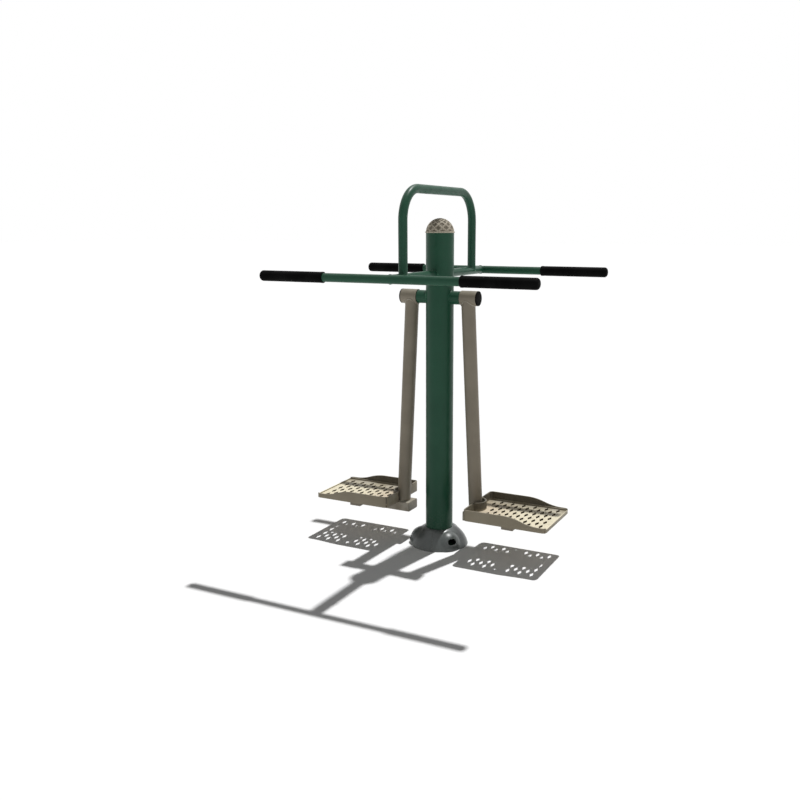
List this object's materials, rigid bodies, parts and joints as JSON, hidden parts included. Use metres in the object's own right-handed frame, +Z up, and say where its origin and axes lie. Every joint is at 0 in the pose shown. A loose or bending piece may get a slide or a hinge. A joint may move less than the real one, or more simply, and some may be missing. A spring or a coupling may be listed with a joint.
{
  "type": "outdoor air walker",
  "caption": "Park exercise walker: a round post with handle bars and a hoop, and two swing arms that hang on one axle and carry foot trays.",
  "frame": {"origin": "centre of the post's axis on the ground", "axes": "+Z up, X along the axle and the handle bars, Y along the swing of the arms"},
  "size_m": [1.152, 0.881, 1.4925],
  "materials": {
    "green_paint": "dark green powder coat, satin",
    "taupe_paint": "taupe powder coat, satin",
    "grey_paint": "dark green-grey coat, satin",
    "beige_paint": "beige coat, cast relief",
    "black_rubber": "black rubber",
    "black_plastic": "black plastic",
    "bright_steel": "ground steel"
  },
  "bodies": {
    "frame": {"column_tube": "green_paint", "base_flange": "green_paint", "base_gussets": "green_paint", "base_cover_left": "grey_paint", "base_cover_right": "grey_paint", "base_cover_bolts": "bright_steel", "dome_cap": "beige_paint", "cross_tube": "green_paint", "front_bar": "green_paint", "rear_bar": "green_paint", "front_left_grip": "black_rubber", "front_right_grip": "black_rubber", "rear_left_grip": "black_rubber", "rear_right_grip": "black_rubber", "bar_end_plates": "green_paint", "hoop": "green_paint", "axle_sleeve": "green_paint", "axle_shaft": "bright_steel", "axle_spacers": "bright_steel", "stop_spacers": "bright_steel", "bearing_inner_rings": "bright_steel", "bearing_ball_sets": "bright_steel", "axle_washers": "bright_steel", "axle_nuts": "bright_steel"},
    "left_arm": {"left_hub": "taupe_paint", "left_hub_cap": "black_plastic", "left_hub_seal": "black_rubber", "left_bearing_outer_rings": "bright_steel", "left_retaining_ring": "bright_steel", "left_stop_buffer": "black_rubber", "left_arm_tube": "taupe_paint", "left_foot_beam": "taupe_paint", "left_beam_end_plates": "taupe_paint", "left_cross_stubs": "taupe_paint", "left_foot_tray": "taupe_paint"},
    "right_arm": {"right_hub": "taupe_paint", "right_hub_cap": "black_plastic", "right_hub_seal": "black_rubber", "right_bearing_outer_rings": "bright_steel", "right_retaining_ring": "bright_steel", "right_stop_buffer": "black_rubber", "right_arm_tube": "taupe_paint", "right_foot_beam": "taupe_paint", "right_beam_end_plates": "taupe_paint", "right_cross_stubs": "taupe_paint", "right_foot_tray": "taupe_paint"}
  },
  "joints": [
    {"name": "left_swing", "type": "hinge", "parent": "frame", "child": "left_arm", "pos_m": [0, 0, 1.051], "axis": [1, 0, 0], "range_deg": [-50, 50]},
    {"name": "right_swing", "type": "hinge", "parent": "frame", "child": "right_arm", "pos_m": [0, 0, 1.051], "axis": [1, 0, 0], "range_deg": [-50, 50]}
  ]
}
